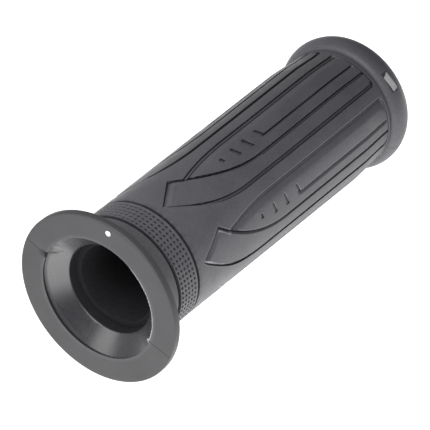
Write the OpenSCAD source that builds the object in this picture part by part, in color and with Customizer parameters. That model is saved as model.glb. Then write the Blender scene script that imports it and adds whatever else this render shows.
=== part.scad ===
// Twist-grip for a handlebar: a rigid tube in moulded rubber that turns on a fixed bar liner.
// +X runs along the bar from the inboard flange to the outboard end, +Z is up, +Y is forward.
// The origin is on the bar's axis, half way along the grip. All sizes are in millimetres.

/* [Grip] */
// Length of the grip along the bar
grip_len = 120; // [116:1:130]
// Diameter of the flange at the inboard end
flange_d = 48.6; // [46:0.1:52]
// Thickness of the flange at its rim
flange_t = 2.1; // [1.8:0.1:2.8]
// Diameter of the plain land behind the flange
neck_d = 34.4; // [34:0.1:35]
// Diameter of the sleeve beside the knurled ring
sleeve_d_in = 35.2; // [35:0.1:36]
// Diameter the sleeve tapers out to, before it dips to the end ring
sleeve_d_out = 37.2; // [36.6:0.1:38]
// Largest diameter of the rounded end ring
end_ring_d = 40.3; // [39.4:0.1:42]
// Depth of the lines carved in the sleeve
carve_h = 0.5; // [0.3:0.05:0.6]

/* [Joint lines] */
// Distance from the flange face to the line between collar and knurled ring
collar_len = 11.6; // [11.4:0.1:12.4]
// Width of the knurled ring
knurl_w = 8.1; // [7:0.1:9]
// Width of the end ring along the bar
end_ring_w = 9; // [8.6:0.1:10]
// Width of the open groove at each joint line
groove_w = 0.9; // [0.6:0.1:1.2]
// Depth of the open groove at each joint line
groove_h = 0.8; // [0.4:0.1:1.2]

/* [Tube and bar] */
// Outside diameter of the handlebar
bar_d = 22.22; // [22:0.01:22.3]
// Radial clearance between the bar and its liner
bar_gap = 0.04; // [0.02:0.01:0.05]
// Bore diameter of the tube that turns on the liner
tube_bore_d = 25.5; // [25.2:0.1:25.8]
// Outside diameter of the tube
tube_d = 28.6; // [28.2:0.1:29]
// Radial clearance between the liner and the tube
turn_gap = 0.05; // [0.03:0.01:0.08]
// Diameter of the tube's mouth at the flange
mouth_d = 34.8; // [34:0.1:35.4]
// Depth of the tapered mouth
mouth_depth = 5.2; // [4.8:0.1:6]
// Width of each driving rib along the tube
rib_w = 2.4; // [1.8:0.1:3]
// Height of each driving rib
rib_h = 0.8; // [0.5:0.1:1]

/* [Trim] */
// Diameter of the marking dot on the flange face
dot_d = 1.5; // [1:0.1:2]
// Depth of the pocket that holds the dot
dot_t = 0.35; // [0.2:0.05:0.6]
// Depth of the pocket that holds the end badge
badge_t = 0.6; // [0.4:0.1:0.8]

/* [Hidden] */
$fn = 96;

face_x = -grip_len / 2;
knurl_x = collar_len;
sleeve_x = collar_len + knurl_w;
end_ring_x = grip_len - end_ring_w;

flange_r = flange_d / 2;
neck_r = neck_d / 2;
tube_r = tube_d / 2;
bore_r = tube_bore_d / 2;
mouth_r = mouth_d / 2;
liner_r = bore_r - turn_gap;
liner_bore_r = bar_d / 2 + bar_gap;
bulge_r = end_ring_d / 2;

// the rubber lip that hides the tube's ends
lip_t = 0.8;
mouth_wall = 1.3;
end_lip_t = 1.5;
end_lip_r = bore_r + 0.15;
rim_round = 0.4;
neck_round = flange_r - 2 - neck_r;
end_face_r = bulge_r - 3.75;
bulge_x = end_ring_x + 4;
liner_from = 8;
liner_to = grip_len - 0.6;

rib_n = 6;
rib_from = sleeve_x + 4;
rib_to = end_ring_x - 4;

// where the sleeve dips, and by how much, to meet the end ring
dip_from = 96;
dip = 0.6;

// the six repeats of the carved pattern, in degrees about the bar
unit_n = 6;
unit_pitch = 360 / unit_n;
unit_mid = 20;
carve_end = end_ring_x - 0.9;
line_w = 0.5;
line_deg = 1.6;
slot_deg = 2.4;
low_gap_from = 1.2;
inner_tip = [23.35, 14.9];
inner_low_from = 24;
inner_point = [31.95, -1.9];
inner_notch = [35, 7];
blade_tip = [22.6, 14.2];
blade_low_start = [23.4, 16.4];
blade_low_end = [50, 43.6];
blade_point = [32, -3.9];
notch = [35.3, 5];
blade_top_end = [60, 29.6];
leaf_from = 37;
leaf_end = [55, -2.6];
step_from = 66.8;
step_at = 18.4;
// each louvre: its two ends, as [distance, degrees]
louvres = [
    [[49, 12], [49.3, 16.4]],
    [[54.3, 10.6], [55.2, 20.3]],
    [[59.6, 10.5], [60.6, 21.4]],
    [[65.2, 10.5], [66.1, 18.6]]
];

knurl_land = 0.35;
arc_step = 10;

// a solid of revolution about X from [distance from the flange face, radius] points
module turned(points) {
    translate([face_x, 0, 0])
        rotate([0, 90, 0])
            rotate_extrude()
                polygon([for (p = points) [p[1], p[0]]]);
}

// a ring between two radii
module tube_between(x0, x1, r0, r1) {
    turned([[x0, r0], [x1, r0], [x1, r1], [x0, r1]]);
}

// a flat outline of [distance from the face, degrees] points, seen along the radius at mid
module outline(points, mid, at_r) {
    polygon([for (p = points) [face_x + p[0], -at_r * sin(p[1] - mid)]]);
}

// a prism of that outline right through the wall
module wall_prism(mid) {
    rotate([mid, 0, 0])
        linear_extrude(height = bulge_r + 4)
            children();
}

// radius of the sleeve at a distance from the flange face
function dip_at(x) = dip * (1 - cos(180 * (min(max(x, dip_from), end_ring_x) - dip_from)
    / (end_ring_x - dip_from))) / 2;
function sleeve_r(x) = sleeve_d_in / 2
    + (sleeve_d_out - sleeve_d_in) / 2 * (x - sleeve_x) / (end_ring_x - sleeve_x) - dip_at(x);

// an edge that curves from one [distance, degrees] point and settles level at another
function settle(x, from, to, power) = x >= to[0] ? to[1]
    : to[1] + (from[1] - to[1]) * pow((to[0] - x) / (to[0] - from[0]), power);

function blade_low(x) = settle(x, blade_low_start, blade_low_end, 2.3);
function blade_top(x) = settle(x, notch, blade_top_end, 2.1);
function leaf_top(x) = settle(x, notch, leaf_end, 2.1);

// the slot along the blade's lower edge opens out as it runs back
function low_gap(x) = low_gap_from + (slot_deg - low_gap_from) * min(max((x - 26) / 13, 0), 1);

// steps along a curved edge, from x0 to x1
function steps(x0, x1) = [for (i = [0:arc_step]) x0 + (x1 - x0) * i / arc_step];
function steps_back(x0, x1) = [for (i = [arc_step:-1:0]) x0 + (x1 - x0) * i / arc_step];

// the line round the blade is what its outer outline has beyond its inner one
function blade_outer() = concat(
    [blade_tip],
    [for (x = steps(blade_low_start[0], blade_low_end[0])) [x, blade_low(x) + low_gap(x)]],
    [[carve_end - 1, blade_low_end[1] + slot_deg],
     [carve_end, blade_low_end[1]],
     [carve_end, blade_top_end[1]]],
    [for (x = steps_back(notch[0], blade_top_end[0])) [x, blade_top(x)]],
    [blade_point]);

function blade_inner() = concat(
    [inner_tip],
    [for (x = steps(inner_low_from, blade_low_end[0])) [x, blade_low(x)]],
    [[carve_end - line_w - 0.4, blade_low_end[1]],
     [carve_end - line_w, blade_low_end[1] - line_deg],
     [carve_end - line_w, blade_top_end[1] + slot_deg]],
    [for (x = steps_back(notch[0] + 0.7, blade_top_end[0])) [x, blade_top(x) + slot_deg]],
    [inner_notch, inner_point]);

function leaf_line() = concat(
    [for (x = steps(leaf_from, leaf_end[0])) [x, leaf_top(x)]],
    [[carve_end, leaf_end[1]],
     [carve_end, blade_top_end[1] - 2],
     [carve_end - line_w, blade_top_end[1] - 2],
     [carve_end - line_w, leaf_end[1] + line_deg]],
    [for (x = steps_back(leaf_from, leaf_end[0])) [x, leaf_top(x) + line_deg]]);

function step_line() = [
    [step_from, step_at],
    [carve_end - 2 * line_w, step_at],
    [carve_end - 2 * line_w, step_at + line_deg],
    [step_from, step_at + line_deg]
];

function louvre_slot(ends) = [
    ends[0],
    ends[1],
    [ends[1][0] - line_w, ends[1][1]],
    [ends[0][0] - line_w, ends[0][1]]
];

// radius of the end ring where it meets the sleeve
foot_r = sleeve_r(end_ring_x) - 0.08;

// the rounded outside of the end ring, grown outwards by extra
function bulge_profile(extra) = concat(
    [for (a = [0:arc_step:90])
        [bulge_x - (bulge_x - end_ring_x) * cos(a), foot_r + extra + (bulge_r - foot_r) * sin(a)]],
    [for (a = [80:-arc_step:0])
        [bulge_x + (grip_len - bulge_x) * cos(a), end_face_r + extra + (bulge_r - end_face_r) * sin(a)]]);

module ribs() {
    for (i = [0:rib_n - 1])
        rotate([i * 360 / rib_n, 0, 0])
            translate([face_x + rib_from, -rib_w / 2, tube_r - 1])
                cube([rib_to - rib_from, rib_w, rib_h + 1]);
}

module bar_liner() {
    color("#2b2b2d")
        tube_between(liner_from, liner_to, liner_bore_r, liner_r);
}

module throttle_tube() {
    color("#3a3a3d")
        union() {
            turned([
                [lip_t, mouth_r],
                [mouth_depth, bore_r],
                [grip_len - end_lip_t, bore_r],
                [grip_len - end_lip_t, tube_r],
                [mouth_depth + mouth_wall, tube_r],
                [lip_t + mouth_wall, mouth_r + mouth_wall],
                [lip_t, mouth_r + mouth_wall]
            ]);
            ribs();
        }
}

module flange_collar() {
    color("#5c5b60")
        difference() {
            turned(concat(
                [[0, mouth_r - 0.1],
                 [0, flange_r - rim_round],
                 [rim_round, flange_r],
                 [flange_t - rim_round, flange_r],
                 [flange_t, flange_r - rim_round]],
                [for (a = [0:15:90])
                    [flange_t + 0.2 + neck_round * (1 - cos(a)), neck_r + neck_round * (1 - sin(a))]],
                [[collar_len - groove_w / 2, neck_r],
                 [collar_len - groove_w / 2, neck_r - groove_h],
                 [collar_len, neck_r - groove_h],
                 [collar_len, tube_r],
                 [mouth_depth + mouth_wall, tube_r],
                 [lip_t + mouth_wall, mouth_r + mouth_wall],
                 [lip_t, mouth_r + mouth_wall],
                 [lip_t, mouth_r - 0.1]]));
            dot_solid();
        }
}

module knurled_ring() {
    color("#5c5b60")
        turned([
            [knurl_x, tube_r],
            [knurl_x, neck_r - groove_h],
            [knurl_x + groove_w / 2, neck_r - groove_h],
            [knurl_x + groove_w / 2, neck_r],
            [knurl_x + groove_w / 2 + knurl_land, sleeve_d_in / 2],
            [sleeve_x - groove_w / 2 - knurl_land, sleeve_d_in / 2],
            [sleeve_x - groove_w / 2, neck_r],
            [sleeve_x - groove_w / 2, neck_r - groove_h],
            [sleeve_x, neck_r - groove_h],
            [sleeve_x, tube_r]
        ]);
}

// the carved lines of one repeat
module unit_lines() {
    at_r = sleeve_r(60);
    difference() {
        outline(blade_outer(), unit_mid, at_r);
        outline(blade_inner(), unit_mid, at_r);
    }
    outline(leaf_line(), unit_mid, at_r);
    outline(step_line(), unit_mid, at_r);
    for (ends = louvres)
        outline(louvre_slot(ends), unit_mid, at_r);
}

// [distance, radius] points along the sleeve's skin, grown outwards by extra
function skin(extra) = concat(
    [[sleeve_x + groove_w / 2, sleeve_r(sleeve_x + groove_w / 2) + extra]],
    [for (x = steps(dip_from, end_ring_x)) [x, sleeve_r(x) + extra]]);

module grip_sleeve() {
    color("#57565b")
        difference() {
            turned(concat(
                [[sleeve_x, tube_r],
                 [sleeve_x, neck_r - groove_h],
                 [sleeve_x + groove_w / 2, neck_r - groove_h]],
                skin(0),
                [[end_ring_x, tube_r]]));
            ribs();
            intersection() {
                turned(concat(
                    [[sleeve_x + groove_w / 2, bulge_r + 2]],
                    skin(-carve_h),
                    [[end_ring_x, bulge_r + 2]]));
                for (i = [0:unit_n - 1])
                    wall_prism(unit_mid + i * unit_pitch)
                        unit_lines();
            }
        }
}

module end_ring() {
    color("#5c5b60")
        difference() {
            turned(concat(
                [[end_ring_x, tube_r]],
                bulge_profile(0),
                [[grip_len, end_lip_r],
                 [grip_len - end_lip_t, end_lip_r],
                 [grip_len - end_lip_t, tube_r]]));
            badge_block(2);
        }
}

// the outline of the end badge, in [distance from the face, degrees], cut from a band of the
// bulge that reaches from the pocket's floor to proud above the surface
module badge_block(proud) {
    badge_from = end_ring_x + 1.9;
    badge_w = 2.6;
    badge_mid = 51;
    badge_half = 7.6;
    badge_slant = 0.7;
    intersection() {
        turned(concat(
            [[end_ring_x, bulge_r - 3]],
            bulge_profile(proud),
            [[grip_len, bulge_r - 5]]));
        difference() {
            wall_prism(badge_mid)
                outline([
                    [badge_from, badge_mid - badge_half + 2],
                    [badge_from + badge_slant, badge_mid + badge_half],
                    [badge_from + badge_w, badge_mid + badge_half - 1],
                    [badge_from + badge_w - badge_slant, badge_mid - badge_half - 1]
                ], badge_mid, bulge_r);
            rotate([badge_mid, 0, 0])
                translate([face_x, -bulge_r, -1])
                    cube([grip_len, 2 * bulge_r, bulge_r - badge_t - 0.3 + 1]);
        }
    }
}

module end_badge() {
    color("#b9babd")
        badge_block(0);
}

module dot_solid() {
    dot_at_r = 21.9;
    dot_deg = 11;
    rotate([dot_deg, 0, 0])
        translate([face_x, 0, dot_at_r])
            rotate([0, 90, 0])
                cylinder(h = dot_t, d = dot_d);
}

module paint_dot() {
    color("#f2f2f0")
        dot_solid();
}

bar_liner();
throttle_tube();
flange_collar();
knurled_ring();
grip_sleeve();
end_ring();
end_badge();
paint_dot();
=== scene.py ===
import math

import bmesh
import bpy
import numpy as np
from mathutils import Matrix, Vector, geometry


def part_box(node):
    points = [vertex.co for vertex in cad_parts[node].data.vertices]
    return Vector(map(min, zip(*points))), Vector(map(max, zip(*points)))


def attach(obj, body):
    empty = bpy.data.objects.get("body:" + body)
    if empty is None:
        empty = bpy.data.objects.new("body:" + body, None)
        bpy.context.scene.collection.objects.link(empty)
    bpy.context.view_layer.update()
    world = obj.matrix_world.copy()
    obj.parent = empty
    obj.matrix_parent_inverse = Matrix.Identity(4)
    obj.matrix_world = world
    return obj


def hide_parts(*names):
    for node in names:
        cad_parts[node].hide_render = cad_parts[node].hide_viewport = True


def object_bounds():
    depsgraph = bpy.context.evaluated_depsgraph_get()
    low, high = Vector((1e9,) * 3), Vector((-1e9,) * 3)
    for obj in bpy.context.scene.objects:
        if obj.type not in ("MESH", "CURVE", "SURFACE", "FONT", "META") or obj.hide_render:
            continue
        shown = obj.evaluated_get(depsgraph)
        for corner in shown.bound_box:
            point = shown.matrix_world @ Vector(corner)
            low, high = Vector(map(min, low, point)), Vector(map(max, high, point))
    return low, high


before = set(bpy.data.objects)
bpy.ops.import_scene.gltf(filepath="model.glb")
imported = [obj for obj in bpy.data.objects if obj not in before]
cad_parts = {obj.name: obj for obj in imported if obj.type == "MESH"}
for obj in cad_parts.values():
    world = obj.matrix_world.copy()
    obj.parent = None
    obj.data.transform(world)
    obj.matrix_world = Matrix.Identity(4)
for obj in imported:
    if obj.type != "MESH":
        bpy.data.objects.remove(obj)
cad_lo, cad_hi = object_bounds()

MM = 0.001
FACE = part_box("flange_collar")[0].x / MM      # the flange face, along the bar, in mm
GRIP_LEN = (cad_hi.x - cad_lo.x) / MM
KNURL_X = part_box("knurled_ring")[0].x / MM - FACE
SLEEVE_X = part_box("grip_sleeve")[0].x / MM - FACE
END_RING_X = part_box("end_ring")[0].x / MM - FACE
FLANGE_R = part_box("flange_collar")[1].y / MM
BULGE_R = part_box("end_ring")[1].y / MM

# ---------------------------------------------------------------- sizes in mm, x from the flange face
NECK_R = 17.2
TUBE_R = 14.3
BORE_R = 12.75
MOUTH_R = 17.4
MOUTH_DEPTH = 5.2
GROOVE_W = 0.9
GROOVE_R = 16.4
SKIN_R = 17.6              # radius of the knurled ring, and of the sleeve where its taper starts
TAPER_X = 20
TAPER = 0.01143            # growth of the sleeve's radius for each mm along the bar
DIP = 0.6                  # how far the sleeve dips again before the end ring
DIP_FROM, DIP_TO = 96, 110
UNITS = 6                  # repeats of the carved pattern round the bar
UNIT_DEG = 360 / UNITS
UNIT_FROM = -8.0           # the sector of one unit starts in the plain strip between two units
UNIT_STEPS = 24            # divisions across one unit
MM_PER_DEG = math.radians(1) * 18.0


def smooth(t):
    t = np.clip(t, 0, 1)
    return t * t * (3 - 2 * t)


def ramp(x, start, end):
    """0 before start, 1 after end, and smooth between them."""
    return smooth((np.asarray(x, float) - start) / (end - start))


def sleeve_r(x):
    """Radius of the sleeve's skin: a slow taper outwards that dips again before the end ring."""
    return SKIN_R + TAPER * (x - TAPER_X) - DIP * ramp(x, DIP_FROM, DIP_TO)


# ---------------------------------------------------------------- meshes
def add_mesh(name, verts, faces, painted_shade_and_pale, body="grip", slot="rubber", sharp=35):
    """A piece from points and faces. A point's painted shade is 1 in a dark seam, 0 on plain skin
    and below 0 where it is painted pale: flash, a little wear and painted highlight."""
    mesh = bpy.data.meshes.new(name)
    mesh.from_pydata([tuple(v) for v in verts], [], faces)
    layer = mesh.attributes.new("painted_shade_and_pale", "FLOAT", "POINT")
    layer.data.foreach_set("value", np.asarray(painted_shade_and_pale, np.float32))
    bm = bmesh.new()
    bm.from_mesh(mesh)
    bmesh.ops.remove_doubles(bm, verts=bm.verts, dist=0.002 * MM)
    bmesh.ops.recalc_face_normals(bm, faces=bm.faces)
    bm.to_mesh(mesh)
    bm.free()
    mesh.validate()
    mesh.shade_smooth()
    mesh.set_sharp_from_angle(angle=math.radians(sharp))
    piece = bpy.data.objects.new(name, mesh)
    bpy.context.scene.collection.objects.link(piece)
    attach(piece, body)
    return piece


def place(x, r, deg):
    """A point at x mm from the flange face, r mm from the axis, deg about +X from +Z."""
    a = math.radians(deg)
    return ((FACE + x) * MM, -r * math.sin(a) * MM, r * math.cos(a) * MM)


def arc(cx, cr, rx, rr, a0, a1, n):
    """n points on an oval of half sizes rx and rr about (cx, cr), from a0 to a1 degrees."""
    return [(cx + rx * math.cos(math.radians(a)), cr + rr * math.sin(math.radians(a)))
            for a in np.linspace(a0, a1, n)]


def away(deg, at):
    """Degrees from one angle to another, the short way round, with its sign."""
    return (deg - at + 180) % 360 - 180


def around(segments, fine_at=(), fine=(-0.6, -0.3, -0.12, 0, 0.12, 0.3, 0.6)):
    """Angles of a lathed piece, with extra ones beside each fine line."""
    step, margin = 360 / segments, fine[-1] + 0.2
    degs = [d for d in np.arange(segments) * step
            if all(abs(away(d, f)) > margin for f in fine_at)]
    degs += [(f + e) % 360 for f in fine_at for e in fine]
    return sorted(degs)


def ring_faces(rings, n, closed=True):
    """Quads between rings of n points each, all the way round."""
    faces = []
    for j in range(rings):
        k = (j + 1) % rings
        for i in range(n if closed else n - 1):
            m = (i + 1) % n
            faces.append((j * n + i, j * n + m, k * n + m, k * n + i))
    return faces


def lathe(name, profile, degs, shape, **how):
    """A closed solid of revolution; profile is a closed loop of (x, r).
    shape(x, r, deg) gives a point's own (x, r, painted shade)."""
    points = [(*shape(x, r, deg), deg) for deg in degs for x, r in profile]
    verts = [place(x, r, deg) for x, r, _, deg in points]
    painted_shade_and_pale = [dark for _, _, dark, _ in points]
    return add_mesh(name, verts, ring_faces(len(degs), len(profile)), painted_shade_and_pale, **how)


# ---------------------------------------------------------------- outlines of the carved pattern
# points are (mm from the flange face, degrees about the bar)
BLADE_TIP = (22.6, 14.2)                      # the blade's inboard tip
TAIL = (23.4, 16.8)                           # the short stub below that tip
BLADE_POINT = (32.0, -3.9)                    # the blade's upper point
NOTCH = (35.3, 5.0)                           # where blade and leaf meet
LOW_FROM, LOW_TO = (23.4, 16.4), (50, 43.6)   # the blade's lower edge, until it runs level
TOP_TO = (60, 29.6)                           # the blade's top edge runs level from here
LEAF_TO = (55, -2.6)                          # the leaf's edge runs level from here
LEAF_LOW = 9.0                                # the leaf's end wall stops here, and a slope starts
PANEL_END = 110.0
TOP_SLOT_X = 60.0                             # the blade's top edge opens into a slot from here
DRIFT = 0.7                                   # how far the long lines lean over, in degrees
DRIFT_FROM, DRIFT_TO = 62, 102
SLOT_GAP, SLOT_GAP_MORE = 0.6, 2.1            # the lower slot's first width, and what it gains
SLOT_GAP_FROM, SLOT_GAP_TO = 26, 39
LEVEL_POWER = {"low": 2.3, "top": 2.09, "leaf": 2.05}     # how sharply each edge levels out


def settle(x, start, end, power):
    """A line that leaves start and settles level at end."""
    t = np.clip((end[0] - np.asarray(x, float)) / (end[0] - start[0]), 0, 1)
    return end[1] + (start[1] - end[1]) * t ** power


def lean(x):
    return DRIFT * ramp(x, DRIFT_FROM, DRIFT_TO)


def slot_gap(x):
    """Width of the slot along the blade's lower edge, in degrees."""
    return SLOT_GAP + SLOT_GAP_MORE * ramp(x, SLOT_GAP_FROM, SLOT_GAP_TO)


def blade_low(x):
    return settle(x, LOW_FROM, LOW_TO, LEVEL_POWER["low"]) - lean(x)


def slot_low(x):
    """The outer edge of the slot below the blade."""
    return blade_low(x) + slot_gap(x)


def blade_top(x):
    return settle(x, NOTCH, TOP_TO, LEVEL_POWER["top"]) - lean(x)


def leaf_edge(x):
    return settle(x, NOTCH, LEAF_TO, LEVEL_POWER["leaf"]) - lean(x)


def flat(p):
    """(x, degrees) to millimetres on the unrolled skin."""
    p = np.asarray(p, float)
    return np.stack([p[..., 0], p[..., 1] * MM_PER_DEG], -1)


def dense(line, step=0.5):
    """The same polyline with a point at least every step mm."""
    out = [line[0]]
    for a, b in zip(line[:-1], line[1:]):
        n = max(1, math.ceil(np.linalg.norm(b - a) / step))
        out.extend(a + (b - a) * i / n for i in range(1, n + 1))
    return np.array(out)


def edge(*points):
    """A fine polyline in mm through (x, degrees) points."""
    return dense(flat(points))


def curve(f, x0, x1, step=0.5):
    """Points along a settling line from x0 to x1."""
    return [(x, float(f(x))) for x in np.linspace(x0, x1, math.ceil((x1 - x0) / step) + 1)]


BLADE_CORNER = (PANEL_END, float(blade_low(PANEL_END)))
TOP_CORNER = (PANEL_END, float(blade_top(PANEL_END)))
LEAF_CORNER = (PANEL_END, 0.2)
EDGE_LOW = edge(*curve(slot_low, LOW_FROM[0], PANEL_END - 1.0), BLADE_CORNER)
EDGE_TOP = edge(*curve(blade_top, NOTCH[0], PANEL_END))
EDGE_NOTCH = edge(BLADE_POINT, NOTCH)
EDGE_FRONT = edge(BLADE_TIP, BLADE_POINT)
EDGE_TAIL = edge(BLADE_TIP, TAIL, (LOW_FROM[0], float(slot_low(LOW_FROM[0]))))
EDGE_LEAF = edge(*curve(leaf_edge, NOTCH[0], PANEL_END - 0.8), LEAF_CORNER)
EDGE_LEAF_END = edge(LEAF_CORNER, (PANEL_END, LEAF_LOW), TOP_CORNER)
EDGE_BLADE_END = edge(TOP_CORNER, BLADE_CORNER)
STEP = edge((66.1, 18.6), (85, 18.2), (PANEL_END - 0.6, 17.9))
STEP_FALL = 0.0052                            # slope of the step's line on the unrolled skin
# each louvre: the two ends of its stroke, and how far its ramp reaches inboard
LOUVRES = [((49.0, 12.0), (49.3, 16.4), 1.5), ((54.3, 10.6), (55.2, 20.3), 1.7),
           ((59.6, 10.5), (60.6, 21.4), 1.8), ((65.2, 10.5), (66.1, 18.6), 1.8)]

BLADE_POLY = np.concatenate([EDGE_FRONT[::-1][:-1], EDGE_TAIL[:-1], EDGE_LOW, EDGE_BLADE_END[::-1][1:],
                             EDGE_TOP[::-1][1:], EDGE_NOTCH[::-1][1:-1]])
LEAF_POLY = np.concatenate([EDGE_LEAF, EDGE_LEAF_END[1:], EDGE_TOP[::-1][1:-1]])

# ---------------------------------------------------------------- depths across the carved edges
LIP = 0.12                 # width of the eased edge on the plain side of a line
EDGE_ROUND = 0.05          # how far that edge is eased down
LIP_SHADE, LIP_SHADE_TO = 0.6, 0.04       # painted shade: how dark the eased edge is at the line, and where that ends
WEAR_AND_HIGHLIGHT_BAND = (0.05, 0.2)       # where the edge is paler: a little wear, and painted highlight in the lit units
EASE_OUT = 0.28            # the mesh has a line here, where the pale edge has faded out
WALL = 0.15                # width of the first wall of a seam
FADE = 0.33                # where the painted shade of a seam's foot has faded out
RIM = 0.2                  # width of the top of a ramp, painted pale as a highlight in the lit units
SLOT_D = 0.62              # depth of the slots
SLOT_LEAST = 0.24          # least width of the lower slot
BANK, BANK_MORE = 0.2, 0.5      # the lower slot's inner bank, and what it adds at the tail
BANK_FROM, BANK_TO = 25, 35     # along the bar
BANK_WALL = 0.22           # the part of that bank that is a wall, painted in shade
LOUVRE_D = 0.4             # depth of the louvres
LOUVRE_WALL, LOUVRE_ENDS = 0.09, 0.07     # how wide their long wall and their end walls are
STROKE_FULL, STROKE_TO = 0.16, 0.27       # the stroke's painted shade: full to here, and gone by there
BARB_FROM, BARB_TO, BARB_LEN = 0.04, 0.28, 1.1     # the barbs of painted shade at a louvre's ends
LIP_WEAR_AND_HIGHLIGHT, TOP_PAINTED_HIGHLIGHT = 1, 2                      # which kind of pale edge a point is on: a lip with a little wear and painted highlight, or a top with painted highlight
END_SLOPE_TO = LEAF_LOW * MM_PER_DEG
CLIMB_LEN, CLIMB_SLOPE = 1.5, 0.7                  # the leaf's floor climbing to its outboard corner


def ramp_depths(d, w, rim=0):
    """(distance, depth) across a wall of depth d at the edge and a ramp that climbs back out at w.
    rim adds a knot below the ramp's top, which gets painted highlight in the lit units, and one just past it."""
    foot = [(0, -EDGE_ROUND), (WALL, -d), (FADE, -d * (w - FADE) / (w - WALL))]
    if not rim:
        return foot + [(w, 0)]
    return foot + [(w - rim, -d * rim / (w - WALL)), (w, 0), (w + 0.08, 0)]


FRONT_DEPTHS = ramp_depths(0.95, 1.9)
NOTCH_DEPTHS = ramp_depths(0.8, 1.15, RIM)
TAIL_DEPTHS = ramp_depths(0.5, 0.8, RIM)
LEAF_DEPTHS = [(0, -EDGE_ROUND), (WALL, -0.45), (FADE, -0.44), (0.7, -0.42), (0.78, -0.4),
               (0.88, -0.6), (0.95, -0.58), (2.7, 0)]
LEAF_SECOND = (0.78, 0.88)      # the leaf line's second wall
TOP_DEPTHS = ramp_depths(0.8, 0.95)
TOP_SLOT_DEPTHS = [(0, -EDGE_ROUND), (WALL, -SLOT_D), (FADE, -SLOT_D), (0.52, -SLOT_D),
                   (0.6, -SLOT_D), (0.84, 0), (0.91, 0)]
TOP_SECOND = (0.6, 0.84)        # the top slot's second wall
END_DEPTHS = [(0, -EDGE_ROUND), (0.08, -0.6), (0.3, -0.6), (0.38, 0), (0.45, 0)]
END_FIRST, END_SECOND = (0, 0.3), (0.3, 0.38)      # the walls across the blade's end
LEAF_END_DEPTHS = [(0, -EDGE_ROUND), (0.07, -0.35), (0.16, -0.35), (0.24, 0)]
STEP_DEPTHS = ramp_depths(0.55, 1.15)


def distance(p, line):
    """Distance from each point to an open polyline."""
    best = np.full(len(p), 1e9)
    for a, b in zip(line[:-1], line[1:]):
        ab = b - a
        t = np.clip(((p - a) @ ab) / max(ab @ ab, 1e-12), 0, 1)
        best = np.minimum(best, np.linalg.norm(p - (a + t[:, None] * ab), axis=1))
    return best


def inside(p, poly):
    """Which points lie inside a closed outline."""
    hit = np.zeros(len(p), bool)
    for a, b in zip(poly, np.roll(poly, -1, 0)):
        cross = (a[1] > p[:, 1]) != (b[1] > p[:, 1])
        x = a[0] + (p[:, 1] - a[1]) * (b[0] - a[0]) / (b[1] - a[1] + 1e-15)
        hit ^= cross & (p[:, 0] < x)
    return hit


def across(s, knots):
    """Depth at a distance s from an edge."""
    k = np.array(knots)
    return np.interp(s, k[:, 0], k[:, 1], right=0)


def dark_at(s):
    """Painted shade: 1 on the first wall, fading out over its foot."""
    return np.clip((FADE - s) / (FADE - WALL), 0, 1)


def between(s, low, high):
    """1 on the wall from low to high."""
    return ((s > low - 0.02) & (s < high + 0.02)).astype(float)


def low_slot_width(x):
    """Across the lower slot: where its floor ends and where its inner bank meets the blade."""
    slope = np.gradient(slot_low(x + np.array([[-0.1], [0], [0.1]])), 0.1, axis=0)[1] * MM_PER_DEG
    floor = np.maximum(slot_gap(x) * MM_PER_DEG / np.sqrt(1 + slope ** 2), SLOT_LEAST)
    return floor, floor + BANK + BANK_MORE * (1 - ramp(x, BANK_FROM, BANK_TO))


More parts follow.
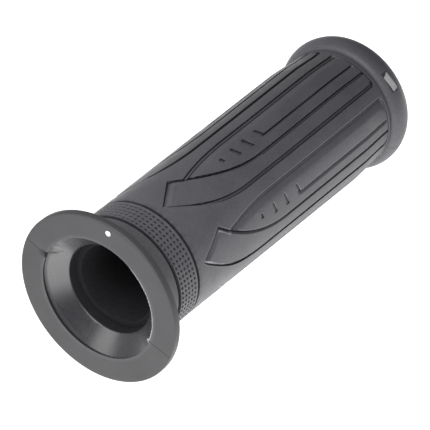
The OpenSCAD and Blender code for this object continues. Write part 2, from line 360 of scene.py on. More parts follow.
class Skin:
    """The sleeve's skin at points (x, mm around): its depth, the painted shade of first walls and of
    far walls, and where its edges are pale from a little wear and painted highlight."""

    def __init__(self, p):
        self.p = np.asarray(p, float)
        self.x = self.p[:, 0]
        self.depth, self.dark, self.far, self.wear_and_highlight = np.zeros((4, len(self.p)))
        self.in_blade = inside(self.p, BLADE_POLY)
        self.in_leaf = inside(self.p, LEAF_POLY)
        self.plain = ~self.in_blade & ~self.in_leaf
        self.carve_ramps()
        self.carve_blade_slots()
        self.carve_leaf()
        self.carve_step()
        for top, bottom, reach in LOUVRES:
            self.carve_louvre(flat(top), flat(bottom), reach)

    # carves a depth, and paints shade: shade on first walls and far_shade on far walls
    def carve(self, mask, value, shade=0.0, far_shade=0.0):
        self.depth[mask] = np.minimum(self.depth[mask], value[mask])
        for layer, amount in ((self.dark, shade), (self.far, far_shade)):
            layer[mask] = np.maximum(layer[mask], np.broadcast_to(amount, layer.shape)[mask])

    def lip(self, mask, s):
        """The eased edge on the plain side of a line, s mm away from it: painted shade at the line, then a
        pale band of a little wear and painted highlight.
        """
        ease = -EDGE_ROUND * np.clip(1 - s / LIP, 0, 1)
        self.carve(mask, ease, LIP_SHADE * np.clip(1 - s / LIP_SHADE_TO, 0, 1))
        self.wear_and_highlight[mask & (s > WEAR_AND_HIGHLIGHT_BAND[0]) & (s < WEAR_AND_HIGHLIGHT_BAND[1])] = LIP_WEAR_AND_HIGHLIGHT

    def carve_ramps(self):
        for line, knots in ((EDGE_FRONT, FRONT_DEPTHS), (EDGE_NOTCH, NOTCH_DEPTHS), (EDGE_TAIL, TAIL_DEPTHS)):
            s = distance(self.p, line)
            self.carve(self.in_blade, across(s, knots), dark_at(s))
            self.lip(self.plain, s)
            if knots is not FRONT_DEPTHS:
                # the ramp's top is painted pale as a highlight in the lit units
                top = knots[-2][0]
                self.wear_and_highlight[self.in_blade & (s > top - RIM - 0.01) & (s < top + 0.01)] = TOP_PAINTED_HIGHLIGHT

    def carve_blade_slots(self):
        s = distance(self.p, EDGE_BLADE_END)
        self.carve(self.in_blade, across(s, END_DEPTHS), between(s, *END_FIRST), between(s, *END_SECOND))
        self.lip(self.plain, s)
        s = distance(self.p, EDGE_TOP)
        slotted = self.x >= TOP_SLOT_X
        self.carve(self.in_blade & ~slotted, across(s, TOP_DEPTHS), dark_at(s))
        self.carve(self.in_blade & slotted, across(s, TOP_SLOT_DEPTHS), dark_at(s), between(s, *TOP_SECOND))
        self.lip(self.in_leaf, s)
        s = distance(self.p, EDGE_LOW)
        floor, bank = low_slot_width(self.x)
        wall = -EDGE_ROUND - (SLOT_D - EDGE_ROUND) * s / WALL
        climb = -SLOT_D * np.clip((bank - s) / (bank - floor), 0, 1)
        value = np.where(s < WALL, wall, np.where(s < floor, -SLOT_D, climb))
        self.carve(self.in_blade, value, dark_at(s), between(s, floor, np.minimum(bank, floor + BANK_WALL)))
        # the lower slot's inner bank is painted pale as a highlight in the lit units
        self.wear_and_highlight[self.in_blade & (s > floor + 0.05) & (s < bank + 0.01)] = TOP_PAINTED_HIGHLIGHT
        self.lip(self.plain, s)

    def carve_leaf(self):
        s = distance(self.p, EDGE_LEAF)
        self.carve(self.in_leaf, across(s, LEAF_DEPTHS), np.maximum(dark_at(s), between(s, *LEAF_SECOND)))
        self.lip(self.plain, s)
        s = distance(self.p, EDGE_LEAF_END)
        sloped = self.p[:, 1] <= END_SLOPE_TO
        self.carve(self.in_leaf & ~sloped, across(s, LEAF_END_DEPTHS), dark_at(s))
        self.lip(self.plain, s)
        # the leaf's floor climbs to the skin at its outboard corner
        climb = self.in_leaf & sloped & (self.x > PANEL_END - CLIMB_LEN)
        self.depth[climb] = np.maximum(self.depth[climb], -(PANEL_END - self.x[climb]) * CLIMB_SLOPE)
        self.dark[climb] *= np.clip((PANEL_END - 0.5 - self.x[climb]) / 0.4, 0, 1)

    def carve_step(self):
        s = distance(self.p, STEP)
        reached = self.x > STEP[0][0]
        below = self.p[:, 1] >= STEP[0][1] - 0.02 - (self.x - STEP[0][0]) * STEP_FALL
        below &= reached & (self.x < STEP[-1][0])
        self.carve(below, across(s, STEP_DEPTHS), dark_at(s))
        self.lip(~below & reached, s)

    def carve_louvre(self, a, b, reach):
        """A stroke from a to b with a ramp inboard of it, painted shade on the stroke, and a barb of painted
        shade at each end.
        """
        length = np.linalg.norm(b - a)
        along = (b - a) / length
        v = (self.p - a) @ along
        u = -(self.p - a - v[:, None] * along)[:, 0]
        end = np.minimum(v, length - v)
        ends = np.clip(end / LOUVRE_ENDS, 0, 1)
        climb = np.clip(1 - (u - LOUVRE_WALL) / (reach - LOUVRE_WALL), 0, 1)
        slope = np.where(u < LOUVRE_WALL, u / LOUVRE_WALL, climb)
        barb = (end > BARB_FROM - 0.01) & (end < BARB_TO + 0.01) & (u < BARB_LEN + 0.01)
        stroke = np.clip((STROKE_TO - u) / (STROKE_TO - STROKE_FULL), 0, 1)
        first = (v < length / 2) * (u > 0.2)
        cut = (u >= -0.01) & (u < reach) & (v >= -0.01) & (v < length + 0.01)
        self.carve(cut, -LOUVRE_D * ends * slope, barb * (1 - first), np.maximum(stroke, barb * first))
        # a band just outside the stroke, painted pale as a highlight in the lit units
        self.wear_and_highlight[(u > -0.12) & (u < -0.01) & (v > -0.06) & (v < length + 0.06)] = TOP_PAINTED_HIGHLIGHT


# ---------------------------------------------------------------- the flat mesh of one unit
def offset(line, s):
    """A polyline moved s mm to the left of its direction."""
    d = np.gradient(line, axis=0)
    d /= np.linalg.norm(d, axis=1)[:, None]
    return line + s * np.stack([-d[:, 1], d[:, 0]], 1)


class Sheet:
    """Points and constrained edges on the unrolled skin, later triangulated."""

    def __init__(self):
        self.points, self.edges = [], []

    def add(self, line, close=False):
        start, n = len(self.points), len(line)
        self.points.extend(tuple(q) for q in line)
        self.edges.extend((start + i, start + i + 1) for i in range(n - 1))
        if close:
            self.edges.append((start + n - 1, start))

    def add_offset(self, line, s, value):
        """Adds the runs of an offset line on which that edge sets the depth."""
        moved = offset(line, s)
        run = []
        for q, k in zip(moved, np.abs(Skin(moved).depth - value) < 0.025):
            if k:
                run.append(q)
                continue
            if len(run) > 1:
                self.add(run)
            run = []
        if len(run) > 1:
            self.add(run)

    def triangles(self):
        out = geometry.delaunay_2d_cdt([Vector(q) for q in self.points], self.edges, [], 0, 0.004)
        return np.array([tuple(v) for v in out[0]]), [tuple(f) for f in out[2]]


def add_edges(sheet):
    """The carved edges, and a line beside them at each knot of their depths."""
    sheet.add(BLADE_POLY, close=True)
    for line in (EDGE_LEAF, EDGE_LEAF_END, STEP):
        sheet.add(line)
    before = EDGE_TOP[EDGE_TOP[:, 0] < TOP_SLOT_X - 0.05]
    slot_start = [[TOP_SLOT_X + 0.02, EDGE_TOP[len(before)][1]]]
    after = np.concatenate([slot_start, EDGE_TOP[len(before) + 1:]])
    # which side of each line is carved: +1 is to the left of its direction
    for line, knots, side in ((EDGE_FRONT, FRONT_DEPTHS, 1), (EDGE_NOTCH, NOTCH_DEPTHS, 1),
                              (EDGE_TAIL, TAIL_DEPTHS, -1), (EDGE_BLADE_END, END_DEPTHS, 1),
                              (EDGE_LEAF_END, LEAF_END_DEPTHS, 1), (EDGE_LEAF, LEAF_DEPTHS, 1),
                              (STEP, STEP_DEPTHS, 1), (before, TOP_DEPTHS, 1),
                              (after, TOP_SLOT_DEPTHS, 1)):
        for s, value in knots[1:]:
            sheet.add_offset(line, side * s, value)
        sheet.add_offset(line, -side * LIP, 0.0)
        sheet.add_offset(line, -side * EASE_OUT, 0.0)


def add_lower_slot(sheet):
    floor, bank = low_slot_width(EDGE_LOW[:, 0])
    inward = offset(EDGE_LOW, -1.0) - EDGE_LOW
    every = floor > 0
    wide = floor > 0.45
    long_bank = bank - floor > 0.35
    same = np.ones(len(floor))
    for s, use in ((WALL * same, every), (FADE * same, wide), (floor - 0.08, wide), (floor, every),
                   (floor + BANK_WALL, long_bank), (floor + 0.3, long_bank), (bank, every),
                   (bank + 0.07, every)):
        moved = EDGE_LOW + inward * s[:, None]
        sheet.add(moved[use & (moved[:, 0] < PANEL_END - 0.42)])
    sheet.add_offset(EDGE_LOW, LIP, 0.0)
    sheet.add_offset(EDGE_LOW, EASE_OUT, 0.0)


def add_louvre(sheet, a, b, reach):
    """Rings round a louvre at its walls and shaded bands, and the outlines of its barbs."""
    along = (b - a) / np.linalg.norm(b - a)
    for u, v in ((-0.2, -0.12), (-0.09, -0.05), (0, 0), (LOUVRE_WALL, LOUVRE_ENDS),
                 (STROKE_FULL, 0.12), (0.25, 0.36)):
        top, bottom = a + along * v, b - along * v
        ring = [top - (u, 0), bottom - (u, 0), bottom - (reach - u, 0), top - (reach - u, 0)]
        sheet.add(np.array(ring), close=True)
    for v_from, v_to, u in ((BARB_FROM, BARB_TO, BARB_LEN), (0, BARB_TO + 0.07, BARB_LEN + 0.07)):
        for end, way in ((a, along), (b, -along)):
            near, far = end + way * v_from, end + way * v_to
            sheet.add(np.array([near - (STROKE_FULL, 0), near - (u, 0), far - (u, 0),
                                far - (STROKE_FULL, 0)]))


def add_grid(sheet, x0, x1):
    """The unit's border, its even grid, and a finer grid under the blade's inboard end."""
    lo, hi = UNIT_FROM * MM_PER_DEG, (UNIT_FROM + UNIT_DEG) * MM_PER_DEG
    rows = np.linspace(lo, hi, UNIT_STEPS + 1)
    cols = np.linspace(x0, x1, 62)
    for x in (x0, x1):
        sheet.add(np.array([(x, s) for s in rows]))
    for s in (lo, hi):
        sheet.add(np.array([(x, s) for x in cols]))
    sheet.points.extend((x, s) for x in cols[1:-1] for s in rows[1:-1])
    fine = 0.42
    fine_x = np.arange(22, 38, fine)
    fine_s = np.arange(-5 * MM_PER_DEG, 22 * MM_PER_DEG, fine)
    sheet.points.extend((x, s + 0.01) for x in fine_x for s in fine_s)


def unit_mesh(x0, x1):
    """Vertices (x, mm around) and triangles of one unit, with an edge along every carved line."""
    sheet = Sheet()
    add_edges(sheet)
    add_lower_slot(sheet)
    for top, bottom, reach in LOUVRES:
        add_louvre(sheet, flat(top), flat(bottom), reach)
    climb_x = PANEL_END - 0.9
    sheet.add(np.array([(climb_x, s) for s in np.linspace(-1.5, END_SLOPE_TO, 10)]))
    add_grid(sheet, x0, x1)
    return sheet.triangles()


# ---------------------------------------------------------------- the sleeve
LIT_UNITS = (1, 2, 3)          # the units whose lower walls face down and catch light from below: their edges are painted pale as highlights and their far walls get no painted shade
WORN, LIT_WEAR_AND_HIGHLIGHT = 0.045, 0.3    # how pale the edges are: a little wear in the other units, painted highlight in the lit units
FOOT_ROUND, FOOT_ROUND_LEN = 0.12, 0.3     # the eased corner at the joint groove


def unit_painted_shade(skin, lit):
    """The painted shade of one unit's points in its seams, and elsewhere its pale edges: a little wear, and
    painted highlight in the lit units.
    """
    shade = skin.dark if lit else np.maximum(skin.dark, skin.far)
    wear_and_highlight = np.where(skin.wear_and_highlight == TOP_PAINTED_HIGHLIGHT, 2 * lit, skin.wear_and_highlight)
    worn = (LIT_WEAR_AND_HIGHLIGHT if lit else WORN) * wear_and_highlight
    return np.where(shade > 0.01, shade, -worn)


def make_sleeve():
    x0, x1 = SLEEVE_X + GROOVE_W / 2, END_RING_X
    flat_verts, tris = unit_mesh(x0, x1)
    skin = Skin(flat_verts)
    round_in = FOOT_ROUND * np.clip(1 - (skin.x - x0) / FOOT_ROUND_LEN, 0, 1) ** 2
    radii = sleeve_r(skin.x) + skin.depth - round_in
    verts, faces, painted_shade_and_pale = [], [], []
    for unit in range(UNITS):
        base = len(verts)
        painted_shade_and_pale.extend(unit_painted_shade(skin, unit in LIT_UNITS))
        verts.extend(place(x, r, s / MM_PER_DEG + unit * UNIT_DEG)
                     for (x, s), r in zip(flat_verts, radii))
        faces.extend(tuple(base + i for i in f) for f in tris)
    # the joint groove, painted in shade, the ends and the hidden bore
    rings = UNITS * UNIT_STEPS
    wrap = [(x0, sleeve_r(x0) - FOOT_ROUND), (x0, GROOVE_R), (SLEEVE_X, GROOVE_R), (SLEEVE_X, TUBE_R),
            (x1, TUBE_R), (x1, sleeve_r(x1))]
    painted_shade_and_pale.extend([0.3, 1, 1, 1, 0, 0] * rings)
    base = len(verts)
    for j in range(rings):
        verts.extend(place(x, r, UNIT_FROM + UNIT_DEG * j / UNIT_STEPS) for x, r in wrap)
    faces.extend(tuple(base + i for i in reversed(f)) for f in ring_faces(rings, len(wrap), closed=False))
    piece = add_mesh("sleeve_skin", verts, faces, painted_shade_and_pale, sharp=28)
    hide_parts("grip_sleeve")
    return piece


# ---------------------------------------------------------------- the knurled ring
PITS_AROUND = 78
PIT_COLUMNS = 5
PIT_PITCH = 1.33
PIT_FIRST = 12.8
PIT_DROPS = (0, 0.06, 0.45)         # depth of the land, of a pit's rim and of its floor
PIT_PAINTED_SHADE = (-0.02, 0.1, 0.95)     # and the painted shade of each of them: a little pale on the land as a highlight, dark in the pits
PIT_RIM, PIT_FLOOR = 0.2, 0.36      # where they start across a cell, as fractions of it
GROOVE_FROM = 0.25                  # the front groove starts this far before the joint line
GROOVE_TO = 0.45                    # and ends this far past it


def knurl_columns(x0, x1, cell):
    """The band's points from edge to edge, as (x, level across the pits, drop at the corners)."""
    lines = [(PIT_FIRST + PIT_PITCH * (i - 0.5 + f), level)
             for i in range(PIT_COLUMNS) for f, level in cell]
    lines.append((PIT_FIRST + PIT_PITCH * (PIT_COLUMNS - 0.5), 0))
    corner = [(0, 0.12), (0.1, 0.03), (0.2, 0)]
    columns = [(x0 + x, 0, drop) for x, drop in corner if x0 + x < lines[0][0] - 0.02]
    columns += [(x, level, 0) for x, level in lines]
    return columns + [(x1 - x, 0, drop) for x, drop in reversed(corner) if x1 - x > lines[-1][0] + 0.02]


def make_knurled_ring():
    x0, x1 = KNURL_X + GROOVE_TO, SLEEVE_X - GROOVE_W / 2
    cell = [(0, 0), (PIT_RIM, 1), (PIT_FLOOR, 2), (1 - PIT_FLOOR, 2), (1 - PIT_RIM, 1)]
    columns = knurl_columns(x0, x1, cell)
    inner = [(x1, GROOVE_R), (SLEEVE_X, GROOVE_R), (SLEEVE_X, TUBE_R), (KNURL_X, TUBE_R),
             (KNURL_X, GROOVE_R), (x0, GROOVE_R)]
    step = 360 / PITS_AROUND
    degs = [(step * (j + f), level) for j in range(PITS_AROUND) for f, level in cell]
    verts, painted_shade_and_pale = [], []
    for deg, around_level in degs:
        for x, level, drop in columns:
            sunk = min(level, around_level)
            verts.append(place(x, SKIN_R - drop - PIT_DROPS[sunk], deg))
            painted_shade_and_pale.append(PIT_PAINTED_SHADE[sunk])
        verts.extend(place(x, r, deg) for x, r in inner)
        # painted shade down in the joint grooves on each side
        painted_shade_and_pale.extend([1, 1, 0, 0, 1, 1])
    faces = ring_faces(len(degs), len(columns) + len(inner))
    piece = add_mesh("knurl_band", verts, faces, painted_shade_and_pale, sharp=30)
    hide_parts("knurled_ring")
    return piece


# ---------------------------------------------------------------- the collar
PARTING_DEG = (-65.7, 111.8)    # the two moulding lines down the sides
FLANGE_T = 2.1
FACE_BACK = 0.03                # the skin's face sits just behind the painted dot's
LIP_R = 17.3                    # the flange's inner lip, over the tube's mouth
NECK_ROUND = 4.8
# the parting lines: their half width in degrees, how far they sink, and their painted shade
PARTING_HALF, PARTING_SUNK, PARTING_DARK = 0.2, 0.07, 0.9
NICK_HALF = 4                   # half width of the torn nick, in degrees
NICK_OUT, NICK_BACK = 1.0, 0.35     # how far it is torn outwards and back
# the painted shade in the torn nick
NICK_DARK = 1.6
LIP_DARK = 0.4                  # the least painted shadow that the seam inside the lip gets
BIT, BIT_DEG = 0.6, 1.6         # a bit of flash that stands out, and its half width in degrees
FLASH = 0.3                     # most that the moulding flash stands out from the lip
SEAM_FROM, SEAM_TO = (-185, -160), (-52, -42)     # where the lip's shadow opens and closes
FLASH_FROM = (30, 50)           # degrees over which the flash grows


def ragged(deg):
    """Thin moulding flash along part of the lip's inner edge, in mm."""
    a = math.radians(deg)
    rough = 0.5 + 0.5 * math.sin(37 * a) * math.sin(61 * a + 1.0) + 0.3 * math.sin(97 * a + 2.0)
    band = ramp(deg, *FLASH_FROM) * smooth((PARTING_DEG[1] + 3 - deg) / 6)
    return FLASH * max(0.55 + 0.45 * rough, 0) * float(band)


def collar_skin(x, r, deg):
    """Parting lines, the torn nick at one of them and the flash beside the other, with painted shade in the
    lines, the nick, the seam inside the lip and the joint groove.
    """
    deg = away(deg, 0)
    dark = 0.0
    on_face = x < 0.2 and r > LIP_R + 0.1
    if on_face and min(abs(away(deg, at)) for at in PARTING_DEG) < PARTING_HALF:
        x += PARTING_SUNK
        dark = PARTING_DARK
    nick = abs(away(deg, PARTING_DEG[0]))
    if nick < NICK_HALF and x < 0.5 and r < LIP_R + 1.4:
        torn = 1 - nick / NICK_HALF
        r += NICK_OUT * torn if r < LIP_R + 0.4 else 0
        x += NICK_BACK * torn
        dark = max(dark, min(1, NICK_DARK * torn))
    if 0.2 < x < 1 and r < LIP_R + 0.7:
        # the shadowed seam inside the lip, widest below the nick
        wide = ramp(deg, *SEAM_FROM) * (1 - ramp(deg, *SEAM_TO))
        dark = max(dark, LIP_DARK + (1 - LIP_DARK) * float(wide))
    if r < LIP_R + 0.06 and x < 0.8:
        bit = math.exp(-(away(deg, PARTING_DEG[1]) / BIT_DEG) ** 2)
        flash = ragged(deg)
        r -= flash + BIT * bit
        if flash > 0.03 or bit > 0.2:
            dark = -1.0
    if x > KNURL_X - 0.6 and r < NECK_R - 0.1:
        # painted shade down in the joint groove
        dark = 1.0
    return x, r, dark


def make_collar():
    land_end = KNURL_X - GROOVE_FROM
    mouth_out = MOUTH_R + 1.35
    lip = [(0.75, LIP_R + 0.1), (0.35, LIP_R), (0.12, LIP_R), (FACE_BACK, LIP_R + 0.12)]
    face = [(FACE_BACK, r) for r in (LIP_R + 0.35, 18.6, 20, 21.5, 23)]
    rim = arc(0.38, FLANGE_R - 0.35, 0.35, 0.35, 180, 90, 5)
    rim += arc(FLANGE_T - 0.3, FLANGE_R - 0.3, 0.3, 0.3, 90, 0, 5)
    rim += [(FLANGE_T + 0.05, FLANGE_R - 1.0)]
    neck = arc(FLANGE_T + 0.2 + NECK_ROUND, NECK_R + NECK_ROUND, NECK_ROUND, NECK_ROUND, 180, 264, 13)
    land = [(10.2, NECK_R), (land_end - 0.1, NECK_R), (land_end, NECK_R - 0.1), (land_end, GROOVE_R)]
    inner = [(KNURL_X, GROOVE_R), (KNURL_X, TUBE_R), (6.6, TUBE_R), (2.2, mouth_out), (0.9, mouth_out),
             (0.9, 17.9)]
    profile = lip + face + rim + neck + land + inner
    piece = lathe("flange_skin", profile, around(360, PARTING_DEG), collar_skin)
    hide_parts("flange_collar")
    return piece


# ---------------------------------------------------------------- the tube
MOUTH_WALL = 1.3
# the mouth's cone, from the flange down to the bore
CONE_FROM, CONE_TO = (1.15, 17.6), (MOUTH_DEPTH - 0.15, BORE_R + 0.22)
END_LIP = 1.5                   # the end ring's lip over the tube's outboard end
# painted shade in the bore
BORE_DARK = 0.45
PINCH_X, PINCH_LEN = 1.5, 0.9
# the pinched dimple beside the nick, as (depth, degrees past the nick, width in degrees)
PINCHES = ((0.35, -1.5, 2.0), (-0.4, 3.5, 2.6), (0.3, 9, 2.4))
HOLE_DEG, HOLE_TO = 3.0, 2.0     # the hole under the nick, painted in shade: its half width, and how deep it goes
# painted shade in a crease beside the nick: how dark, how far past it, how it slants and where it stops
CREASE_DARK, CREASE_AT, CREASE_SLANT, CREASE_TO = 0.7, 2.16, 2.2, 3.4
SHADOW_FROM, SHADOW_TO = (-165, -145), (-55, -47)     # where the shadow under the lip runs


def tube_skin(x, r, deg):
    """Painted shade in the bore and in a hole and a crease at the nick, painted shadow under the lip, and the
    pinched dimple beside the nick.
    """
    if r < BORE_R + 0.1:
        return x, r, BORE_DARK
    if x >= MOUTH_DEPTH or r >= MOUTH_R + 0.3:
        return x, r, 0.0
    off = away(deg, PARTING_DEG[0])
    pinch = math.exp(-((x - PINCH_X) / PINCH_LEN) ** 2)
    for sunk, at, wide in PINCHES:
        r += sunk * pinch * math.exp(-((off - at) / wide) ** 2)
    under_lip = 1.0 if x < 1.3 else 0.75 if x < 1.6 else 0.0
    turn = away(deg, 0)
    seam = under_lip * float(ramp(turn, *SHADOW_FROM) * (1 - ramp(turn, *SHADOW_TO)))
    hole = math.exp(-(off / HOLE_DEG) ** 4) * (x < HOLE_TO)
    # painted shade in a crease that slants away from the nick as it runs in
    crease = CREASE_DARK * math.exp(-(off - CREASE_AT - CREASE_SLANT * (x - PINCH_X)) ** 2) * (x < CREASE_TO)
    return x, r, max(seam, hole, crease)


def make_tube():
    cone = [(CONE_FROM[0] + (CONE_TO[0] - CONE_FROM[0]) * t, CONE_FROM[1] + (CONE_TO[1] - CONE_FROM[1]) * t)
            for t in np.linspace(0, 1, 13)]
    throat = [(MOUTH_DEPTH, BORE_R + 0.08), (MOUTH_DEPTH + 0.12, BORE_R + 0.02), (MOUTH_DEPTH + 0.4, BORE_R)]
    outer_r = TUBE_R - 0.02
    mouth_out = MOUTH_R + MOUTH_WALL - 0.1
    body = [(GRIP_LEN - END_LIP, BORE_R), (GRIP_LEN - END_LIP, outer_r), (MOUTH_DEPTH + 2, outer_r),
            (2.3, mouth_out), (1.0, mouth_out)]
    profile = [(1.0, 17.8)] + cone + throat + body
    piece = lathe("tube_shell", profile, around(300), tube_skin, slot="tube_plastic")
    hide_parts("throttle_tube")
    return piece


# ---------------------------------------------------------------- the end ring
BADGE_X, BADGE_DEG = (112.7, 115.3), (41, 60)       # the shadowed bed round the badge
CROWN_X = END_RING_X + 3.9      # where the bulge is widest
END_FACE_R = 16.3               # radius of the flat end face
# how far the end ring's parting line sinks, and the painted shade of that line and of the badge's bed
END_PARTING_SUNK, END_DARK = 0.05, 0.7


def end_ring_skin(x, r, deg):
    """A fine parting line over the bulge, the foot where it meets the sleeve and the badge's bed, all three
    painted in shade.
    """
    dark = 0.0
    if abs(away(deg, PARTING_DEG[1])) < PARTING_HALF and r > 17 and x > END_RING_X + 0.3:
        r -= END_PARTING_SUNK
        dark = END_DARK
    if r > 17 and x < END_RING_X + 0.14:
        dark = 1.0
    if BADGE_X[0] < x < BADGE_X[1] and BADGE_DEG[0] < away(deg, 0) < BADGE_DEG[1]:
        dark = END_DARK
    return x, r, dark


def make_end_ring():
    foot = float(sleeve_r(END_RING_X)) - 0.05
    top = BULGE_R - 0.05
    lip_x, lip_r = GRIP_LEN - END_LIP + 0.02, BORE_R + 0.15
    start = [(END_RING_X, foot - 0.3), (END_RING_X + 0.12, foot - 0.3)]
    rise = arc(CROWN_X, foot + 0.1, CROWN_X - END_RING_X - 0.3, top - foot - 0.1, 176, 92, 15)
    fall = arc(CROWN_X, END_FACE_R, GRIP_LEN - CROWN_X, top - END_FACE_R, 84, 0, 15)
    face = [(GRIP_LEN, 15.0), (GRIP_LEN, 13.5), (GRIP_LEN - 0.15, 13.0), (GRIP_LEN - 0.5, lip_r)]
    inner = [(lip_x, lip_r), (lip_x, TUBE_R), (END_RING_X, TUBE_R)]
    profile = start + rise + fall + face + inner
    piece = lathe("end_skin", profile, around(300, PARTING_DEG[1:]), end_ring_skin)
    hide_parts("end_ring")
    return piece


# ---------------------------------------------------------------- node trees
class Tree:
    """Short calls for the nodes that the materials and the sky are built from."""

    def __init__(self, owner, coords):
        owner.use_nodes = True
        self.tree = owner.node_tree
        self.tree.nodes.clear()
        self.coords = self.node("TexCoord").outputs[coords]

    def node(self, kind, **settings):
        n = self.tree.nodes.new("ShaderNode" + kind)
        for key, value in settings.items():
            setattr(n, key, value)
        return n

    def feed(self, socket, value):
        """Links an output to a socket, or sets the socket's own value."""
        if isinstance(value, bpy.types.NodeSocket):
            self.tree.links.new(value, socket)
        else:
            socket.default_value = value

    def noise(self, scale, detail=4.0):
        n = self.node("TexNoise")
        for key, value in (("Vector", self.coords), ("Scale", scale), ("Detail", detail), ("Roughness", 0.6)):
            self.feed(n.inputs[key], value)
        return n.outputs["Fac"]

    def remap(self, value, low, high, a, b, how="LINEAR"):
        n = self.node("MapRange", interpolation_type=how)
        for key, given in (("Value", value), ("From Min", low), ("From Max", high), ("To Min", a),
                           ("To Max", b)):
            self.feed(n.inputs[key], given)
        return n.outputs["Result"]

    def mix(self, factor, a, b):
        """Between two colours."""
        n = self.node("Mix", data_type="RGBA")
        self.feed(n.inputs["Factor"], factor)
        for socket, value in ((n.inputs[6], a), (n.inputs[7], b)):
            self.feed(socket, (*value, 1) if isinstance(value, tuple) else value)
        return n.outputs[2]

    def blend(self, factor, a, b):
        """Between two amounts."""
        n = self.node("Mix", data_type="FLOAT")
        for socket, value in ((n.inputs["Factor"], factor), (n.inputs[2], a), (n.inputs[3], b)):
            self.feed(socket, value)
        return n.outputs[0]

    def vector(self, operation, a, b=(0, 0, 0)):
        n = self.node("VectorMath", operation=operation)
        self.feed(n.inputs[0], a)
        self.feed(n.inputs[1], b)
        return n.outputs["Vector" if operation == "MULTIPLY" else "Value"]

    def maths(self, operation, *values):
        n = self.node("Math", operation=operation)
        for socket, value in zip(n.inputs, values):
            self.feed(socket, value)
        return n.outputs[0]


def times(colour, factor):
    return tuple(min(1, c * factor) for c in colour)


# ---------------------------------------------------------------- materials
COLOUR_PATCHES, GLOSS_PATCHES = 70, 130     # scales of the slow changes, for each metre
GRAIN_HEIGHT = 0.1 * MM
SEAM_ROUGHER = 0.3


def material(name, colour, rough, bump, grain, seam=(0.005, 0.005, 0.0055), level=0.5, worn=0.35,
             flash=(0.45, 0.45, 0.46), face=None):
    """A moulded surface: fine grain, slow colour drift, uneven gloss, painted shade in the seams, pale flash
    and painted highlight on lit edges, and worn specks. face is (r from, r to, colour), for a flat face that
    changes colour beyond a radius."""
    m = bpy.data.materials.new(name)
    t = Tree(m, "Object")
    fine = t.noise(grain)
    base = t.mix(t.remap(t.noise(COLOUR_PATCHES), 0.35, 0.65, 0, 1), times(colour, 0.88), times(colour, 1.12))
    base = t.mix(t.remap(t.noise(grain * 0.5, 2.0), 0.35, 0.65, 0, 0.3), base, times(colour, 1.6))
    base = t.mix(t.remap(fine, 0.6, 0.8, 0, worn), base, times(colour, 2.0))
    painted_shade_and_pale = t.node("Attribute", attribute_name="painted_shade_and_pale").outputs["Fac"]
    # painted shade: seams, pits, grooves and the bore take the seam colour
    in_seam = t.remap(painted_shade_and_pale, 0, 1, 0, 1)
    base = t.mix(in_seam, base, seam)
    # paler below 0: the collar's flash, a little wear, and painted highlight on lit edges and the knurl's
    # land
    base = t.mix(t.remap(painted_shade_and_pale, -1, 0, 1, 0), base, flash)
    if face is not None:
        r_from, r_to, face_colour = face
        radius = t.vector("LENGTH", t.vector("MULTIPLY", t.coords, (0, 1, 1)))
        base = t.mix(t.remap(radius, r_from * MM, r_to * MM, 0, 1), base, face_colour)
    gloss = t.remap(t.noise(GLOSS_PATCHES), 0.3, 0.7, rough - 0.04, rough + 0.06)
    grains = t.node("Bump")
    for key, value in (("Strength", bump), ("Distance", GRAIN_HEIGHT), ("Height", fine)):
        t.feed(grains.inputs[key], value)
    shader = t.node("BsdfPrincipled")
    t.feed(shader.inputs["Base Color"], base)
    t.feed(shader.inputs["Roughness"], t.maths("MULTIPLY_ADD", in_seam, SEAM_ROUGHER, gloss))
    t.feed(shader.inputs["Specular IOR Level"], level)
    t.feed(shader.inputs["Normal"], grains.outputs["Normal"])
    t.feed(t.node("OutputMaterial").inputs["Surface"], shader.outputs["BSDF"])
    return m


RUBBER = material("moulded_rubber", (0.0695, 0.0676, 0.0768), rough=0.44, bump=0.6, grain=3000)
# painted shade: the flange is darker beyond about 18 mm, over its face, rim and upper neck
FLANGE_RUBBER = material("flange_rubber", (0.056, 0.0548, 0.0605), rough=0.5, bump=0.45, grain=2800,
                         face=(17.5, 18.4, (0.0355, 0.0350, 0.0380)))
TUBE_PLASTIC = material("tube_plastic", (0.0272, 0.0268, 0.0312), rough=0.26, bump=0.03, grain=1800,
                        seam=(0.008, 0.008, 0.009), level=1.0, worn=0.1)
# painted shade: beyond 11.3 mm the liner is darker, so that its end ring matches the shaded bore
LINER_PLASTIC = material("liner_plastic", (0.03, 0.03, 0.033), rough=0.8, bump=0.05, grain=1500,
                         level=0.0, worn=0.1, face=(11.2, 11.3, (0.024, 0.024, 0.026)))
BADGE_METAL = material("badge_silver", (0.31, 0.31, 0.32), rough=0.4, bump=0.3, grain=1500)
PAINT = material("marking_paint", (0.92, 0.92, 0.9), rough=0.4, bump=0.1, grain=2500, worn=0.1)


def dress(piece, mat):
    piece.data.materials.clear()
    piece.data.materials.append(mat)


def dress_node(name, mat):
    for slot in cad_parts[name].material_slots:
        slot.material = mat


dress(make_sleeve(), RUBBER)
dress(make_knurled_ring(), RUBBER)
dress(make_collar(), FLANGE_RUBBER)
dress(make_tube(), TUBE_PLASTIC)
dress(make_end_ring(), RUBBER)
dress_node("bar_liner", LINER_PLASTIC)
dress_node("end_badge", BADGE_METAL)
dress_node("paint_dot", PAINT)

# ---------------------------------------------------------------- floor, camera and light, in metres
FLOOR_Z = -0.16
FLOOR_HALF = 6.0
FLOOR_NEAR = 2.3
# where the floor's glow changes: a centre, the distances where it starts and ends, and by how much
FLOOR_GLOW = (((-0.2, -0.14), 0.12, 0.4, -1.4), ((0, 0), 0.32, 0.55, 0.9), ((0, 0), 0.75, 1.3, -1.5))

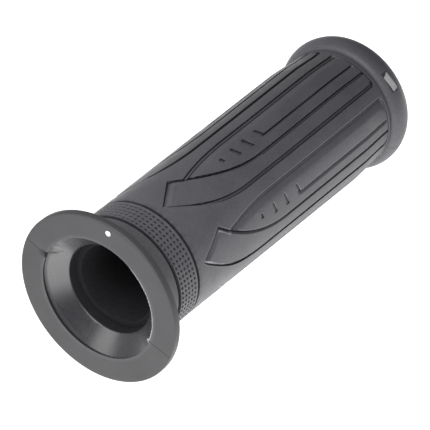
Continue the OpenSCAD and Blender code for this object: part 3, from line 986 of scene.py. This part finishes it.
AZIMUTH, ELEVATION = math.radians(-55.20), math.radians(33.53)
BACK = Vector((math.sin(AZIMUTH) * math.cos(ELEVATION), -math.cos(AZIMUTH) * math.cos(ELEVATION),
               math.sin(ELEVATION)))
TARGET = Vector(((FACE + 57.6) * MM, 0, 0))
CAMERA_DISTANCE = 0.674
LENS, SENSOR = 211.47, 36
SHIFT_X, SHIFT_Y = -0.0296, -0.0464

SKY, ROOM_DARK, SOFTBOX = 0.52, 0.1, 2.7
DARK_WALL_WAY = (0.85, -0.15, 0.45)
SOFTBOX_WAY = (-0.65, 0.48, 0.60)
LAMP_AT = (-0.11, -0.04, 0.15)
LAMP_SIZE, LAMP_POWER = 0.15, 0.31


def floor_material():
    """A plain white table whose glow is painted light from below, brightest in a ring around the object."""
    m = bpy.data.materials.new("floor_white")
    t = Tree(m, "Object")
    glow = FLOOR_NEAR
    for centre, start, end, change in FLOOR_GLOW:
        away_from = t.vector("DISTANCE", t.coords, (*centre, FLOOR_Z))
        glow = t.maths("ADD", glow, t.remap(away_from, start, end, 0, change))
    shader = t.node("BsdfPrincipled")
    for key, value in (("Base Color", (0.8, 0.8, 0.8, 1)), ("Roughness", 0.9), ("Specular IOR Level", 0.1),
                       ("Emission Color", (1, 1, 1, 1)), ("Emission Strength", glow)):
        t.feed(shader.inputs[key], value)
    t.feed(t.node("OutputMaterial").inputs["Surface"], shader.outputs["BSDF"])
    return m


def make_floor():
    corners = [(x * FLOOR_HALF, y * FLOOR_HALF, FLOOR_Z) for x, y in ((-1, -1), (1, -1), (1, 1), (-1, 1))]
    mesh = bpy.data.meshes.new("floor")
    mesh.from_pydata(corners, [], [(0, 1, 2, 3)])
    floor = bpy.data.objects.new("floor", mesh)
    bpy.context.scene.collection.objects.link(floor)
    floor.data.materials.append(floor_material())


def look_from(piece, at, towards):
    """Puts a camera or a lamp somewhere, looking along a direction."""
    bpy.context.scene.collection.objects.link(piece)
    piece.location = at
    piece.rotation_mode = "QUATERNION"
    piece.rotation_quaternion = towards.to_track_quat("-Z", "Y")


def make_camera():
    data = bpy.data.cameras.new("camera")
    data.lens, data.sensor_width = LENS, SENSOR
    data.shift_x, data.shift_y = SHIFT_X, SHIFT_Y
    data.clip_start, data.clip_end = 0.01, 50
    camera = bpy.data.objects.new("camera", data)
    look_from(camera, TARGET + BACK * CAMERA_DISTANCE, -BACK)
    bpy.context.scene.camera = camera


def make_lamp():
    data = bpy.data.lights.new("top_lamp", "AREA")
    data.size, data.energy = LAMP_SIZE, LAMP_POWER
    look_from(bpy.data.objects.new("top_lamp", data), LAMP_AT, -Vector(LAMP_AT))


def make_sky():
    """An even room that is dark behind the camera and beyond the outboard end, with one softbox."""
    world = bpy.data.worlds.new("studio")
    bpy.context.scene.world = world
    t = Tree(world, "Generated")
    sky = SKY
    for way, inner, outer, strength in ((DARK_WALL_WAY, 25, 60, ROOM_DARK), (BACK, 22, 50, ROOM_DARK),
                                        (SOFTBOX_WAY, 10, 20, SOFTBOX)):
        facing = t.vector("DOT_PRODUCT", t.coords, Vector(way).normalized())
        near = t.remap(facing, math.cos(math.radians(outer)), math.cos(math.radians(inner)), 0, 1,
                       how="SMOOTHSTEP")
        sky = t.blend(near, sky, strength)
    background = t.node("Background")
    t.feed(background.inputs["Color"], (1, 1, 1, 1))
    t.feed(background.inputs["Strength"], sky)
    t.feed(t.node("OutputWorld").inputs["Surface"], background.outputs["Background"])


make_floor()
make_camera()
make_lamp()
make_sky()
bpy.context.scene.view_settings.view_transform = "Standard"
